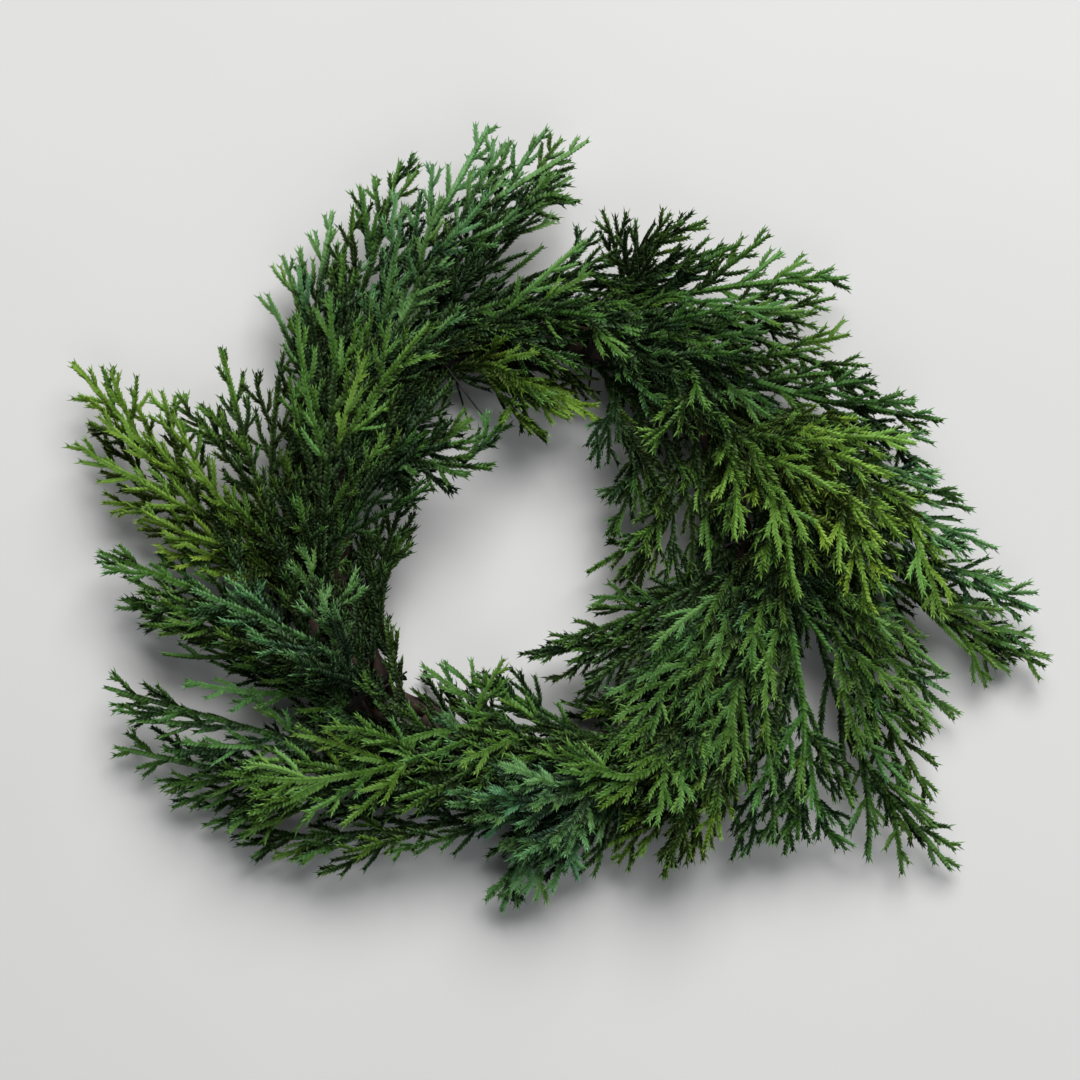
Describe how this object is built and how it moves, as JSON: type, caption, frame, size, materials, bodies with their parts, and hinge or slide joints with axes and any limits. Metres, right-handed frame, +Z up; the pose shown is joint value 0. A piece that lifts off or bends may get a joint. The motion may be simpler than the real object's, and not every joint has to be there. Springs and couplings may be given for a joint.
{
  "type": "juniper candle ring",
  "caption": "Candle ring of moulded juniper sprays wired in a clockwise swirl to a ring of twisted vine canes, lying flat round an open middle.",
  "frame": {"origin": "middle of the object's box on the surface that it lies on; the vine ring's own axis is 6.5 mm to -X and 11 mm to -Y of it", "axes": "+Z up, along the vine ring's axis and out of its face; +X and +Y in the plane of the ring, +X along the longest spread of the sprays"},
  "size_m": [0.349, 0.282, 0.0582],
  "materials": {
    "dark_green": "matte moulded polyethylene foliage, dark green",
    "mid_green": "matte moulded polyethylene foliage, mid green",
    "bright_green": "matte moulded polyethylene foliage, bright green",
    "yellow_green": "matte moulded polyethylene foliage, yellow green",
    "blue_green": "matte moulded polyethylene foliage, blue green",
    "vine_bark": "dark brown bark, dry and rough",
    "dark_wire": "dark annealed binding wire"
  },
  "bodies": {
    "root": {"vine_cane_1": "vine_bark", "vine_cane_2": "vine_bark", "vine_cane_3": "vine_bark", "vine_cane_4": "vine_bark", "vine_cane_5": "vine_bark", "wire_tie_1": "dark_wire", "wire_tie_2": "dark_wire", "wire_tie_3": "dark_wire", "wire_tie_4": "dark_wire", "wire_tie_5": "dark_wire", "wire_tie_6": "dark_wire", "wire_tie_7": "dark_wire", "wire_tie_8": "dark_wire", "wire_tie_9": "dark_wire", "wire_tie_10": "dark_wire", "spray_low_left_1": "dark_green", "spray_low_left_2": "dark_green", "spray_low_left_3": "mid_green", "spray_left_1": "mid_green", "spray_left_2": "dark_green", "spray_left_3": "blue_green", "spray_left_4": "yellow_green", "spray_left_5": "bright_green", "spray_left_6": "mid_green", "spray_left_7": "mid_green", "spray_left_8": "dark_green", "spray_top_left_1": "blue_green", "spray_top_left_2": "mid_green", "spray_top_left_3": "blue_green", "spray_top_left_4": "blue_green", "spray_top_left_5": "dark_green", "spray_top_left_6": "dark_green", "spray_top_1": "dark_green", "spray_top_2": "mid_green", "spray_top_3": "bright_green", "spray_top_right_1": "dark_green", "spray_top_right_2": "mid_green", "spray_top_right_3": "mid_green", "spray_top_right_4": "dark_green", "spray_top_right_5": "mid_green", "spray_top_right_6": "dark_green", "spray_right_1": "dark_green", "spray_right_2": "blue_green", "spray_right_3": "yellow_green", "spray_right_4": "yellow_green", "spray_right_5": "bright_green", "spray_right_6": "mid_green", "spray_low_right_1": "blue_green", "spray_low_right_2": "dark_green", "spray_low_right_3": "dark_green", "spray_low_right_4": "mid_green", "spray_low_right_5": "dark_green", "spray_low_right_6": "dark_green", "spray_bottom_1": "bright_green", "spray_bottom_2": "mid_green", "spray_bottom_3": "dark_green", "spray_bottom_4": "blue_green", "spray_bottom_5": "blue_green", "spray_bottom_6": "mid_green", "spray_bottom_7": "mid_green"}
  },
  "joints": []
}
